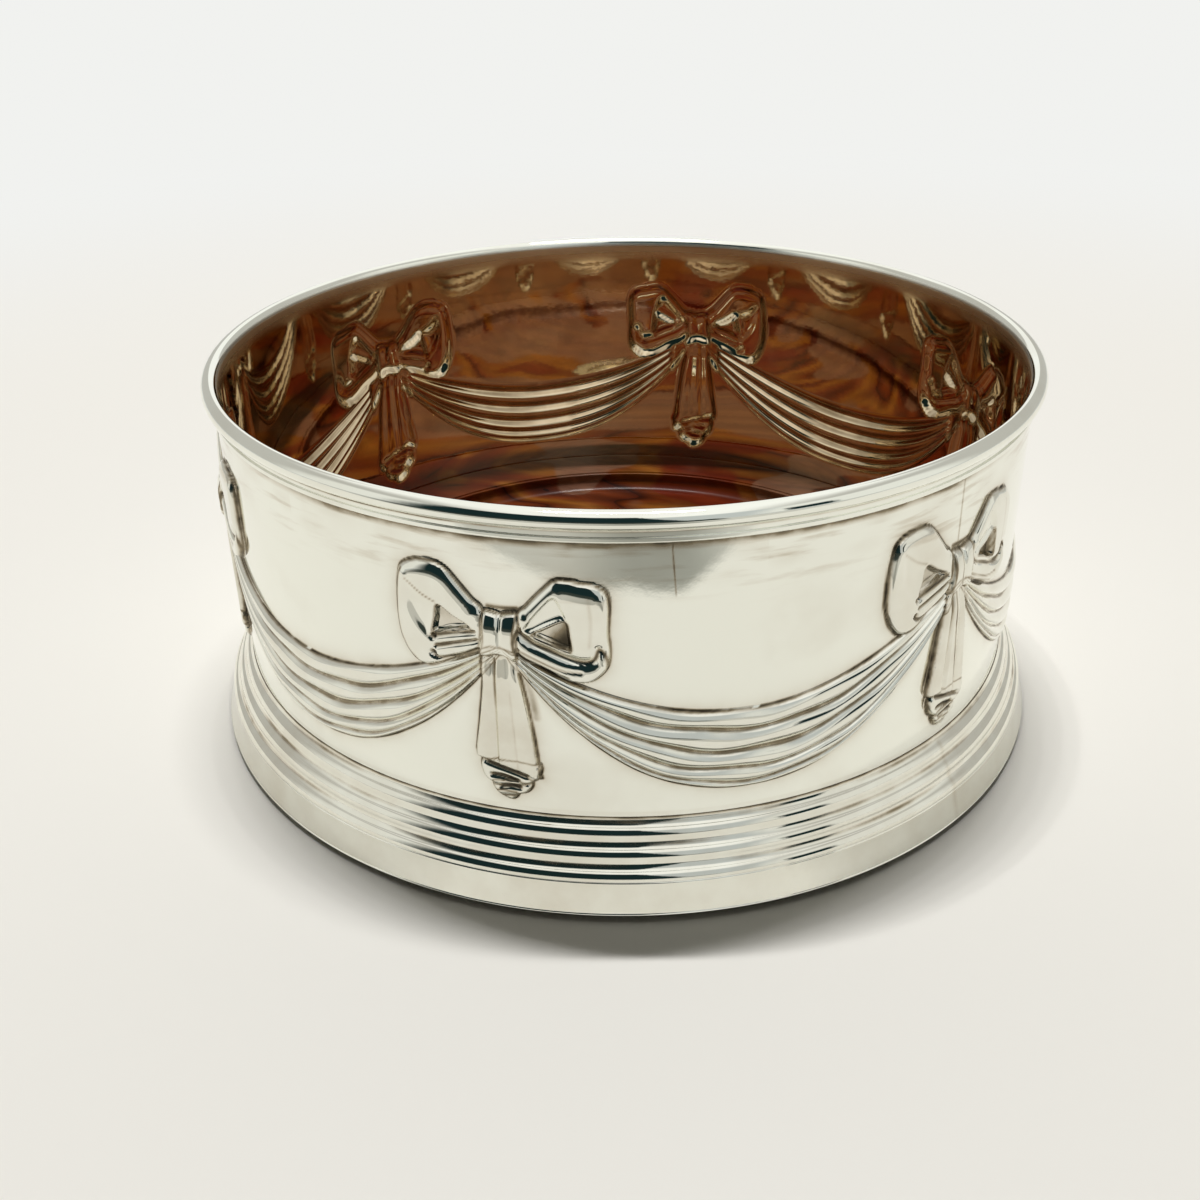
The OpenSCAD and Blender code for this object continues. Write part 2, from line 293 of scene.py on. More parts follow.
def rounded(points, closed=True, steps=6):
    """A smooth curve through points: between two of them it is the Catmull-Rom cubic,
    whose slope at each point is half the way from the point before to the point after."""
    p = np.array(points, float)
    before = np.roll(p, 1, 0)
    after = np.roll(p, -1, 0)
    after2 = np.roll(p, -2, 0)
    if not closed:
        before[0] = 2 * p[0] - p[1]
        after[-1] = p[-1]
        after2[-2] = 2 * p[-1] - p[-2]
    t = (np.arange(steps) / steps)[None, :, None]
    a, b, c, d = before[:, None], p[:, None], after[:, None], after2[:, None]
    line = 0.5 * (2 * b + (c - a) * t + (2 * a - 5 * b + 4 * c - d) * t**2 + (3 * b - a - 3 * c + d) * t**3)
    line = line.reshape(-1, 2)
    return line if closed else np.vstack([line[: (len(p) - 1) * steps], p[-1:]])


def distance(s, z, line, closed=True):
    """Distance from each place to a line, and how far the way to the line's nearest point
    leads up: 1 straight up, -1 straight down."""
    ends = np.roll(line, -1, 0) if closed else line[1:]
    starts = line if closed else line[:-1]
    best = np.full(s.shape, 1e9)
    rise = np.zeros(s.shape)
    for (x0, z0), (x1, z1) in zip(starts, ends):
        dx, dz = x1 - x0, z1 - z0
        length = max(dx * dx + dz * dz, 1e-12)
        t = np.clip(((s - x0) * dx + (z - z0) * dz) / length, 0, 1)
        gx, gz = x0 + t * dx - s, z0 + t * dz - z
        d = gx * gx + gz * gz
        closer = d < best
        best = np.where(closer, d, best)
        rise = np.where(closer, gz, rise)
    best = np.sqrt(best)
    return best, rise / np.maximum(best, 1e-6)


def within(s, z, line):
    """Whether each place is inside a closed line: a ray to the right crosses it an odd number of times."""
    inside = np.zeros(s.shape, bool)
    for (x0, z0), (x1, z1) in zip(line, np.roll(line, -1, 0)):
        if z0 != z1:
            crosses = (z0 > z) != (z1 > z)
            inside ^= crosses & (s < (x1 - x0) * (z - z0) / (z1 - z0) + x0)
    return inside


def smooth(x):
    """The smooth step 3x2 - 2x3 between 0 and 1."""
    x = np.clip(x, 0, 1)
    return x * x * (3 - 2 * x)


def swell(x):
    """A quarter of an ellipse: it rises steeply from 0 and levels out at 1."""
    return np.sqrt(1 - (1 - np.clip(x, 0, 1)) ** 2)


def bell(x, width):
    """A bell curve: 1 at 0, and e to the power of minus 1 at the width."""
    return np.exp(-((x / width) ** 2))


def raised(s, z, line, height, side, top):
    """A raised form inside a closed line. Its edge is a quarter of an ellipse, as wide as side
    says, and up to as wide as top says where the edge faces up."""
    d, rise = distance(s, z, line)
    width = side + (top - side) * np.clip(rise, 0, 1)
    return np.where(within(s, z, line), height * swell(d / width), 0), d


def sunk(s, z, line, softness):
    """How far a place is inside a closed line: 0 at the line, 1 from the softness inwards."""
    d = distance(s, z, line)[0]
    return np.where(within(s, z, line), smooth(d / softness), 0)


def stroke(s, z, points, width):
    """A soft line along points: 1 on it, falling off as a bell curve of this width."""
    return bell(distance(s, z, rounded(points, closed=False), closed=False)[0], width)


LEFT_LOOP = [
    (-2.3, 41.9), (-3.75, 43.6), (-5.2, 45.3), (-6.8, 47.1), (-8.3, 47.85), (-10.2, 47.9), (-12.0, 47.45),
    (-13.3, 46.6), (-13.8, 45.2), (-14.1, 43.0), (-14.25, 40.0), (-14.1, 37.6), (-13.75, 36.2),
    (-13.0, 34.6), (-11.7, 33.3), (-9.6, 33.2), (-6.5, 34.8), (-2.6, 36.9)]
LEFT_EYE = [(-8.1, 42.4), (-6.2, 41.2), (-3.75, 39.7), (-6.6, 38.9), (-9.0, 38.1), (-8.6, 40.4)]
LEFT_FACE = [
    (-12.5, 45.1), (-10.2, 43.5), (-8.1, 42.5), (-8.5, 40.5), (-9.1, 38.0), (-9.9, 37.2), (-11.6, 38.9),
    (-12.7, 41.6)]
LEFT_PLEATS = [
    [(-3.4, 39.3), (-6.4, 38.6), (-8.9, 37.8)],
    [(-3.1, 38.2), (-6.0, 37.3), (-8.7, 36.4)],
    [(-2.9, 36.9), (-5.6, 35.6), (-8.3, 34.7), (-9.3, 35.2)]]
LEFT_POCKETS = [(-9.1, 37.65), (-9.15, 35.35)]
RIGHT_LOOP = [
    (1.9, 41.9), (3.0, 43.3), (4.2, 44.7), (5.7, 46.3), (6.6, 47.1), (8.0, 47.3), (9.8, 46.95), (11.6, 46.6),
    (12.8, 45.7), (13.2, 43.9), (13.1, 40.2), (13.3, 37.4), (13.0, 35.5), (12.0, 34.1), (10.8, 33.3),
    (9.4, 33.2), (8.0, 33.5), (5.4, 34.9), (1.8, 37.0)]
RIGHT_EYE = [(3.75, 39.7), (5.6, 40.9), (7.3, 41.8), (8.2, 41.7), (8.45, 39.9), (8.5, 37.6), (6.0, 38.6)]
RIGHT_FACE = [
    (2.6, 40.4), (4.2, 43.0), (6.5, 45.4), (7.7, 43.8), (8.3, 41.8), (7.3, 41.85), (5.6, 41.0), (3.75, 39.9)]
RIGHT_CURL = [(2.0, 39.9), (3.75, 38.6), (5.8, 37.7), (8.3, 36.6), (10.2, 36.2), (11.4, 36.7), (11.9, 38.0)]
RIGHT_LOWER = RIGHT_CURL + [(12.7, 37.4)] + RIGHT_LOOP[12:]
RIGHT_PLEATS = [
    [(2.0, 37.6), (4.6, 36.3), (7.2, 35.2), (9.8, 34.9)],
    [(2.2, 36.9), (5.2, 35.3), (8.2, 34.0)]]
KNOT = [
    (-2.4, 42.0), (-1.4, 42.25), (-0.2, 42.05), (1.0, 42.3), (2.2, 42.1), (2.0, 39.0), (1.8, 35.8),
    (0.6, 36.3), (-0.6, 36.5), (-2.0, 36.1), (-3.0, 36.5), (-2.6, 39.2)]
TAIL = [
    (-2.5, 37.4), (1.6, 37.4), (1.75, 34.9), (2.8, 29.2), (3.9, 20.6), (4.06, 18.7), (3.6, 18.0),
    (-3.1, 20.3), (-4.4, 21.0), (-3.7, 26.0), (-3.0, 31.5)]
SCROLLS = [
    [(-3.1, 20.6), (-3.6, 18.0), (-2.0, 16.7), (0.9, 17.0), (2.7, 17.3), (4.0, 18.4), (3.6, 20.6)],
    [(-2.1, 17.4), (-1.9, 15.3), (-0.2, 15.1), (2.3, 15.7), (2.65, 17.4)],
    [(-1.9, 15.8), (-1.5, 14.9), (0.1, 14.25), (0.9, 14.9), (0.9, 15.8)]]
SCROLL_FOLDS = [
    [(-2.7, 20.1), (-0.6, 19.5), (2.4, 18.6)],
    [(-2.2, 18.2), (-0.7, 18.2), (1.2, 17.7)],
    [(-1.1, 16.4), (0.2, 16.7), (1.4, 16.6)]]
LOOP_SIDE, LOOP_CREST = 0.9, 2.3
LOWER_SHARE, LOWER_SIDE, LOWER_CREST = 1.12, 0.7, 1.5
LEFT_FACE_DEPTH, LEFT_FACE_EDGE = 0.36, 1.4
RIGHT_FACE_DEPTH, RIGHT_FACE_EDGE = 0.5, 0.6
LEFT_PLEAT_DEPTH, LEFT_PLEAT_W = 0.45, 0.24
RIGHT_PLEAT_DEPTH, RIGHT_PLEAT_W = 0.22, 0.2
CURL_DEPTH, CURL_W, CURL_LINE_W = 0.55, 0.75, 0.25
POCKET_DEPTH, POCKET_W, EYE_EDGE = 0.6, 0.35, 0.35
TAIL_SIDE, KNOT_SIDE, SCROLL_SIDE, SCROLL_CREST = 0.6, 0.6, 0.45, 0.8
SCROLL_HEIGHTS, SCROLL_FOLD_DEPTH, SCROLL_FOLD_W = (1.0, 0.85, 0.7), 0.5, 0.27
RIDGE_S, RIDGE_LEAN, RIDGE_LIFT, RIDGE_W = -0.8, 0.015, 0.16, 0.25
TAIL_CREASE_BESIDE, TAIL_CREASE_DEPTH, TAIL_CREASE_W = 0.35, 0.4, 0.28
SECOND_S, SECOND_LEAN, SECOND_DEPTH, SECOND_W = 0.9, 0.05, 0.15, 0.3
KNOT_SLOPE, KNOT_CREASE_S, KNOT_CREASE_DEPTH, KNOT_CREASE_W = 0.55, -0.2, 0.4, 0.28
HIGH_FILM, TAIL_FILM, EYE_FILM, EYE_SHADE = 0.09, 0.17, 0.35, 0.8
PRESENT, SOLID = 0.05, 0.3
MARKS = [
    ([(-2.7, 36.4), (-3.15, 31.5), (-3.85, 26.0), (-4.5, 21.3)], 0.2, 0.95),
    ([(-1.8, 42.75), (0, 42.7), (1.9, 42.8)], 0.35, 0.8),
    ([(2.3, 33.8), (2.95, 31.6), (3.4, 29.5), (3.7, 27.2)], 0.6, 0.5),
    ([(10.7, 45.3), (11.0, 42), (10.8, 38.6)], 0.35, 0.2),
    ([(-12.4, 45.3), (-10.2, 43.6), (-8.3, 42.7)], 0.13, 0.5)]
SWAG_MIDDLES = (27.9, 16.0)
SWAG_ENDS = (38.0, 36.85)
SWAG_POWERS = ((1.7, 2.2), (2.16, 2.35))
FOLD_SHARES = [(0, 0.235), (0.265, 0.505), (0.535, 0.75), (0.765, 0.915), (0.925, 1)]
FOLD_LIFTS = [1.0, 1.05, 1.0, 0.9, 0.65]
GROOVE_SHARE, GROOVE_TARNISH, SWAG_EDGE_W = 0.22, 0.6, 0.45
FOLD_LOW, FOLD_POWER = 0.2, 0.85
STRAND_DEPTH, FULL_STRAND_W = 0.95, 2.2


def swag_edges(s):
    """The lower and upper edges of the swag. They rise from its middle to the knots as powers
    of the way between the two. The powers to the left of a bow differ from those to its
    right, so a swag is a little lopsided."""
    way = np.clip(1 - np.abs(s) / HALF_PITCH, 0, 1)
    high_line, low_line = (
        middle + (end - middle) * way ** np.where(s < 0, *powers)
        for middle, end, powers in zip(SWAG_MIDDLES, SWAG_ENDS, SWAG_POWERS))
    return low_line, high_line


def swags(s, z):
    """The folds of cloth between the swag's edges: their height, the distance to the nearer
    edge, and 1 in the grooves between them. Each fold is nearly half an ellipse across, and
    two slow sines let the folds wander."""
    low_line, high_line = swag_edges(s)
    share = (high_line - z) / (high_line - low_line)
    turn = math.pi * s / HALF_PITCH
    share = share + 0.012 * np.sin(5 * turn + 9 * share) + 0.008 * np.sin(2 * turn - 14 * share)
    height = np.zeros(s.shape)
    for (start, end), lift in zip(FOLD_SHARES, FOLD_LIFTS):
        across = (2 * share - start - end) / (end - start)
        fold = FOLD_LOW + (1 - FOLD_LOW) * np.clip(1 - across**2, 0, 1) ** FOLD_POWER
        height = np.maximum(height, np.where(np.abs(across) < 1, FOLD_HEIGHT * lift * fold, 0))
    on_cloth = (share > 0) & (share < 1)
    edge = np.minimum(high_line - z, z - low_line)
    height = np.maximum(height, GROOVE_SHARE * FOLD_HEIGHT) * swell(edge / SWAG_EDGE_W)
    height = np.where(on_cloth, height, 0)
    grooves = np.where(on_cloth, 1 - smooth((height - GROOVE_SHARE) / GROOVE_SHARE), 0)
    return height, np.abs(edge), grooves


def hollow_strands(s, z):
    """The same cloth from behind: five broad strands, each a squared cosine across. They are
    shallower where the cloth is drawn together."""
    low_line, high_line = swag_edges(s)
    share = (high_line - z) / (high_line - low_line)
    depth = np.zeros(s.shape)
    for start, end in FOLD_SHARES:
        across = (2 * share - start - end) / (end - start)
        full = STRAND_DEPTH * np.minimum(1, (end - start) * (high_line - low_line) / FULL_STRAND_W)
        strand = full * np.cos(across * math.pi / 2) ** 2
        depth = np.maximum(depth, np.where(np.abs(across) < 1, strand, 0))
    return depth


def stamped(s, z):
    """Height of the raised work over the plain sheet, and how much tarnish and painted shade
    lie there. Each form is drawn by itself, the highest counts, and the eyes of the loops
    are cut down to the sheet. Tarnish lies in the grooves, along every edge and along the
    marks, which are given as points, width and amount. Shade is painted in the right loop's
    eye, darker towards its lower right, and a dark reflection is painted into the tail's
    crease and streak along with their tarnish."""
    height, near, grooves = swags(s, z)
    tarnish_and_shade = GROOVE_TARNISH * grooves
    left, d_left = raised(s, z, rounded(LEFT_LOOP), LOOP_HEIGHT, LOOP_SIDE, LOOP_CREST)
    left = left - LEFT_FACE_DEPTH * sunk(s, z, rounded(LEFT_FACE), LEFT_FACE_EDGE)
    for points in LEFT_PLEATS:
        mark = stroke(s, z, points, LEFT_PLEAT_W)
        left = left - LEFT_PLEAT_DEPTH * mark
        tarnish_and_shade = np.maximum(tarnish_and_shade, 0.9 * mark)
    for x0, z0 in LEFT_POCKETS:
        pocket = np.exp(-(((s - x0) ** 2 + (z - z0) ** 2) / POCKET_W**2))
        left = left - POCKET_DEPTH * pocket
        tarnish_and_shade = np.maximum(tarnish_and_shade, pocket)
    right, d_right = raised(s, z, rounded(RIGHT_LOOP), LOOP_HEIGHT, LOOP_SIDE, LOOP_CREST)
    right = right - RIGHT_FACE_DEPTH * sunk(s, z, rounded(RIGHT_FACE, steps=3), RIGHT_FACE_EDGE)
    right = right - CURL_DEPTH * stroke(s, z, RIGHT_CURL, CURL_W)
    lower, d_lower = raised(
        s, z, rounded(RIGHT_LOWER, steps=3), LOWER_SHARE * LOOP_HEIGHT, LOWER_SIDE, LOWER_CREST)
    curl_line = 0.9 * bell(d_lower, CURL_LINE_W) * within(s, z, rounded(RIGHT_LOOP))
    tarnish_and_shade = np.maximum(tarnish_and_shade, curl_line)
    for points in RIGHT_PLEATS:
        mark = stroke(s, z, points, RIGHT_PLEAT_W)
        lower = lower - RIGHT_PLEAT_DEPTH * mark
        tarnish_and_shade = np.maximum(tarnish_and_shade, 0.5 * mark)
    right = np.maximum(right, lower)
    eye_lines = [rounded(outline, steps=3) for outline in (LEFT_EYE, RIGHT_EYE)]
    left_hole, right_hole = (sunk(s, z, line, EYE_EDGE) for line in eye_lines)
    left = left * (1 - left_hole)
    right = right * (1 - right_hole)
    tail, d_tail = raised(s, z, rounded(TAIL, steps=3), TAIL_HEIGHT, TAIL_SIDE, TAIL_SIDE)
    ridge = RIDGE_S - RIDGE_LEAN * (36 - z)
    second = SECOND_S - SECOND_LEAN * (z - 28)
    tail = tail * (0.62 + 0.38 * smooth((36.2 - z) / 3.5))
    beside = bell(s - ridge + TAIL_CREASE_BESIDE, TAIL_CREASE_W)
    tail = tail - TAIL_CREASE_DEPTH * beside * (tail > SOLID)
    tail = tail + RIDGE_LIFT * bell(s - ridge, RIDGE_W) * (tail > SOLID)
    tail = tail - SECOND_DEPTH * bell(s - second, SECOND_W) * (tail > SOLID)
    # Tarnish in the tail's crease and along a streak on its ridge, with a painted dark reflection in both.
    crease = 0.8 * bell(s - ridge + 0.32, 0.14) * smooth((z - 22) / 12)
    streak = 0.3 * bell(s - second, 0.2) * smooth((34 - z) / 4)
    tarnish_and_shade = np.maximum(tarnish_and_shade, np.maximum(crease, streak) * (tail > SOLID))
    edges = [np.where(height > 0, 9, near), d_left, d_right, d_tail]
    edges += [distance(s, z, line)[0] for line in eye_lines]
    scroll = np.zeros(s.shape)
    for top, outline in zip(SCROLL_HEIGHTS, SCROLLS):
        form, d_form = raised(s, z, rounded(outline, steps=4), top, SCROLL_SIDE, SCROLL_CREST)
        scroll = np.maximum(scroll, form)
        edges.append(d_form)
    for points in SCROLL_FOLDS:
        mark = stroke(s, z, points, SCROLL_FOLD_W)
        scroll = scroll - SCROLL_FOLD_DEPTH * mark
        tail = tail - SCROLL_FOLD_DEPTH * mark
        tarnish_and_shade = np.maximum(tarnish_and_shade, mark)
    knot, d_knot = raised(s, z, rounded(KNOT, steps=4), KNOT_HEIGHT, KNOT_SIDE, KNOT_SIDE)
    edges.append(d_knot)
    knot = knot * (1 - KNOT_SLOPE * smooth((z - 39.6) / 3.6))
    knot_crease = bell(s - KNOT_CREASE_S, KNOT_CREASE_W) * smooth((z - 37) / 4)
    knot = knot - KNOT_CREASE_DEPTH * knot_crease * (knot > SOLID)
    bow_height = np.maximum.reduce([left, right, tail, scroll, knot])
    holes = np.maximum(left_hole, right_hole)
    covered = (bow_height > PRESENT) & (holes < 0.5)
    height = np.where(covered, np.maximum(bow_height, height), height)
    height = np.maximum(np.where(holes > 0, bow_height, height), 0)
    nearest = np.minimum.reduce(edges)
    on_sheet = bell(nearest, 0.16) + 0.26 * np.exp(-nearest / 0.9)
    along_edge = np.where(height < 0.06, on_sheet, 0.7 * bell(nearest, 0.17))
    # Painted shade in the right loop's eye, darker towards its lower right.
    shaded_eye = right_hole * smooth((s - 3.8 + 0.6 * (40.5 - z)) / 5)
    amounts = [
        tarnish_and_shade * (height > 0.02), along_edge, EYE_FILM * holes, EYE_SHADE * shaded_eye,
        HIGH_FILM * smooth(height / 0.6), TAIL_FILM * smooth(tail / 0.6) * (knot < 0.1)]
    amounts += [amount * stroke(s, z, points, width) for points, width, amount in MARKS]
    return height, np.clip(np.maximum.reduce(amounts), 0, 1)


def blurred(field, reach):
    """The field averaged twice over a square of this reach, which rounds its forms off. Along
    the ring it joins up with itself."""
    margin = int(round(reach / SAMPLE))
    kernel = np.ones(2 * margin + 1) / (2 * margin + 1)
    for _ in range(2):
        for axis, mode in ((0, "edge"), (1, "wrap")):
            pad = [(0, 0), (0, 0)]
            pad[axis] = (margin, margin)
            wide = np.pad(field, pad, mode=mode)
            field = np.apply_along_axis(lambda line: np.convolve(line, kernel, "valid"), axis, wide)
    return field


SAMPLED_LOW, SAMPLED_TOP = 12.0, 50.0
KNOT_ZONE = 5
stamp_count = round(2 * HALF_PITCH / SAMPLE)
stamp_s = -HALF_PITCH + 2 * HALF_PITCH * np.arange(stamp_count) / stamp_count
stamp_z = np.arange(SAMPLED_LOW, SAMPLED_TOP + SAMPLE, SAMPLE)
place_s, place_z = np.meshgrid(stamp_s, stamp_z)
stamp_height, stamp_tarnish_and_shade = stamped(place_s, place_z)
strands = hollow_strands(place_s, place_z)
bow_only = np.where(strands > 0, stamp_height * (np.abs(place_s) < KNOT_ZONE), stamp_height)
stamp_hollow = np.maximum(blurred(bow_only, 0.45), blurred(strands, 0.25))
stamp_height = blurred(stamp_height, 0.1)


def look_up(field, s, z):
    """The field at any place, in straight lines between its samples, the same round every bow."""
    i = (s / (2 * HALF_PITCH) + 0.5) % 1 * stamp_count
    j = np.clip((z - stamp_z[0]) / SAMPLE, 0, len(stamp_z) - 1.001)
    i0, j0 = i.astype(int) % stamp_count, j.astype(int)
    i1 = (i0 + 1) % stamp_count
    i, j = i % 1, j - j0
    low = field[j0, i0] * (1 - i) + field[j0, i1] * i
    high = field[j0 + 1, i0] * (1 - i) + field[j0 + 1, i1] * i
    return low * (1 - j) + high * j


def skin(name, grid, wrap_u=True, normals=None):
    """A mesh over a grid of points in millimetres. Each cell between four neighbours is a
    face, which looks along (next u) x (next v). The grid joins up with itself along v, and
    along u too, unless it is a strip. A strip is closed by a face at each end."""
    count_u, count_v = grid.shape[:2]
    i, j = np.meshgrid(np.arange(count_u if wrap_u else count_u - 1), np.arange(count_v), indexing="ij")
    i1, j1 = (i + 1) % count_u, (j + 1) % count_v
    faces = np.stack([i * count_v + j, i1 * count_v + j, i1 * count_v + j1, i * count_v + j1], -1)
    faces = faces.reshape(-1, 4)
    ends = []
    if not wrap_u:
        ends = [np.arange(count_v), (count_u - 1) * count_v + np.arange(count_v)[::-1]]
    mesh = bpy.data.meshes.new(name)
    mesh.vertices.add(count_u * count_v)
    mesh.vertices.foreach_set("co", (grid * MM).astype(np.float32).ravel())
    corners = np.concatenate([faces.ravel()] + ends).astype(np.int32)
    sizes = np.concatenate([np.full(len(faces), 4)] + [[len(e)] for e in ends]).astype(int)
    mesh.loops.add(len(corners))
    mesh.loops.foreach_set("vertex_index", corners)
    mesh.polygons.add(len(sizes))
    mesh.polygons.foreach_set("loop_start", np.concatenate([[0], np.cumsum(sizes)[:-1]]).astype(np.int32))
    mesh.update(calc_edges=True)
    mesh.polygons.foreach_set("use_smooth", np.ones(len(sizes), bool))
    if normals is not None:
        mesh.normals_split_custom_set_from_vertices(normals.reshape(-1, 3))
    piece = bpy.data.objects.new(name, mesh)
    bpy.context.scene.collection.objects.link(piece)
    return piece


def paint(piece, name, values):
    """Keeps one number for each point of a mesh, for its material to read."""
    layer = piece.data.attributes.new(name, "FLOAT", "POINT")
    layer.data.foreach_set("value", values.astype(np.float32).ravel())


def noise(tree, place, scale, detail):
    """A Noise texture over a place. Its values lie around a half."""
    node = tree.nodes.new("ShaderNodeTexNoise")
    feed(tree, node, {"Vector": place, "Scale": scale, "Detail": detail})
    return node.outputs["Fac"]


def colours_along(tree, value, stops):
    """A Color Ramp node: as the value goes from 0 to 1 it passes the stops' colours in turn."""
    node = tree.nodes.new("ShaderNodeValToRGB")
    feed(tree, node, {"Fac": value})
    elements = node.color_ramp.elements
    elements[0].color = stops[0][1]
    elements[1].position, elements[1].color = stops[-1]
    for position, colour in stops[1:-1]:
        elements.new(position).color = colour
    return node.outputs["Color"]


def painted_on(tree, name):
    """The number that the mesh keeps under this name, or 0 where it keeps none."""
    node = tree.nodes.new("ShaderNodeAttribute")
    node.attribute_name = name
    return node.outputs["Fac"]


def bump(tree, height, strength, depth, normal=None):
    """The normal of a surface with a fine relief: a height from 0 to 1, and a depth in metres."""
    node = tree.nodes.new("ShaderNodeBump")
    feed(tree, node, {"Height": height, "Strength": strength, "Distance": depth})
    if normal is not None:
        feed(tree, node, {"Normal": normal})
    return node.outputs["Normal"]


BRIGHT_TO_TARNISHED_AND_SHADED = (
    (0.0, (0.925, 0.935, 0.855, 1)), (0.25, (0.72, 0.68, 0.58, 1)), (0.55, (0.3, 0.25, 0.17, 1)),
    (1.0, (0.035, 0.028, 0.02, 1)))
# A brown tint for the inside of the gallery: a painted reflection of the wood it faces.
WOOD_REFLECTION_TINT = (0.84, 0.7, 0.54, 1)
STREAKS_ALONG = (110, 110, 800)


def silver(name, painted=True):
    """Polished silver: a mirror with hair scratches and faint waves from the hammer and the
    buffing wheel. Where the piece is painted so, it has tarnish with some painted shade and
    painted dark reflection, rubbed streaks along the ring, a brown tint on the inside that
    is a painted reflection of the wood, or a satin finish."""
    material, tree, nodes, shader = new_material(name)
    place = nodes.new("ShaderNodeTexCoord").outputs["Object"]
    clouds = noise(tree, place, 260, 5)
    if painted:
        uneven = ramp(tree, clouds, 0.3, 0.7, 0.65, 1.15)
        smudges = ramp(tree, noise(tree, place, 60, 4), 0.5, 0.72, 0.0, 0.07)
        along = nodes.new("ShaderNodeMapping")
        feed(tree, along, {"Vector": place, "Scale": STREAKS_ALONG})
        streaks = ramp(tree, noise(tree, along.outputs["Vector"], 1, 4), 0.5, 0.72, 0.0, 0.26)
        faint = math_node(tree, "ADD", smudges, times(tree, painted_on(tree, "handled"), streaks))
        # The painted amount is tarnish, with painted shade and painted dark reflection where a piece has
        # them.
        heavy = times(tree, painted_on(tree, "tarnish_and_shade"), uneven)
        amount = math_node(tree, "ADD", heavy, faint, clamp=True)
    else:
        amount = ramp(tree, clouds, 0.62, 0.8, 0.0, 0.08)
    colour = colours_along(tree, amount, BRIGHT_TO_TARNISHED_AND_SHADED)
    # The inside is tinted brown, a painted reflection of the wood.
    inner = mix_colour(tree, painted_on(tree, "inside"), (1, 1, 1, 1), WOOD_REFLECTION_TINT)
    tinted = mix_colour(tree, 1.0, colour, inner, "MULTIPLY")
    polish = ramp(tree, amount, 0.05, 0.9, 0.035, 0.45)
    satin = times(tree, painted_on(tree, "worn"), 0.38)
    dullness = math_node(tree, "MAXIMUM", polish, satin)
    wavy = bump(tree, noise(tree, place, 70, 1), 0.25, 0.0003)
    scratched = bump(tree, noise(tree, place, 900, 3), 0.04, 0.0001, wavy)
    feed(tree, shader, {"Base Color": tinted, "Roughness": dullness, "Metallic": 1, "Normal": scratched})
    return material


def bend(radius, angle, z):
    """Points of a ring: the angle is counted from -Y towards +X."""
    radius, angle, z = np.broadcast_arrays(radius, angle, z)
    return np.stack([radius * np.sin(angle), -radius * np.cos(angle), z], -1)


def slopes(field):
    """How steeply a field rises along the ring and upwards, from the samples on both sides."""
    along = (np.roll(field, -1, 1) - np.roll(field, 1, 1)) / (2 * SAMPLE)
    return along, np.gradient(field, SAMPLE, axis=0)


def sheet_rows(s, counts):
    """Heights of the rows of points in each column. They are evenly spread over the stretches
    between the sheet's ends, the stamped zone's ends and the two edges of the swag, so that
    the rows follow the folds."""
    low_line, high_line = swag_edges(s)
    stops = [SHEET_LOW - SILVER_Z, STAMP_LOW, low_line, high_line, STAMP_TOP, SHEET_TOP - SILVER_Z]
    rows = []
    for start, end, count in zip(stops, stops[1:], counts):
        share = np.arange(count)[None, :] / count
        start, end = np.broadcast_to(start, s.shape)[:, None], np.broadcast_to(end, s.shape)[:, None]
        rows.append(start + (end - start) * share)
    rows.append(np.broadcast_to(stops[-1], s.shape)[:, None])
    return np.concatenate(rows, axis=1)


STAMP_LOW, STAMP_TOP = 13.0, 49.0
OUTER_ROWS, INNER_ROWS = (5, 100, 80, 56, 6), (4, 38, 34, 26, 4)
BOW_HALF, BOW_COLUMNS, SWAG_COLUMNS = 15, 180, 39
FRONT_BOW, CRACK_MIDDLE, CRACK_LEAN, CRACK_W = 0, 21.15, 0.08, 0.09
CRACK_ZONE, CRACK_COLUMNS = (20.35, 21.4), 12
# Points along the left edge of the front bow's left loop, where shade is painted.
TURNED_AWAY = [
    (-13.0, 46.3), (-13.4, 45.1), (-13.7, 43.0), (-13.85, 40.0), (-13.7, 37.7), (-13.38, 36.4), (-12.7, 34.9),
    (-11.5, 33.75)]
SEAM_SHIFT, SEAM_W, SHIFT_STARTS, SHIFT_ENDS, SHIFT_OVER = 0.7, 0.15, -52, 16, 36
SEAM_LINE = ((21, 31, 37, 43.2, 51), (0.32, -0.86, -1.35, -1.29, -1.4))
FOOT_LINE, FOOT_LINE_W, BEAD_LINE, BEAD_LINE_W = 12.2, 0.5, 52.15, 0.28
SATIN_FROM, SATIN_OVER = 53.2, 0.8
bow_part = np.linspace(-BOW_HALF, BOW_HALF, BOW_COLUMNS)
swag_part = np.linspace(BOW_HALF, HALF_PITCH, SWAG_COLUMNS)[1:]
crack_part = np.linspace(*CRACK_ZONE, CRACK_COLUMNS)
columns = np.unique(np.concatenate([-swag_part, bow_part, crack_part, swag_part]))


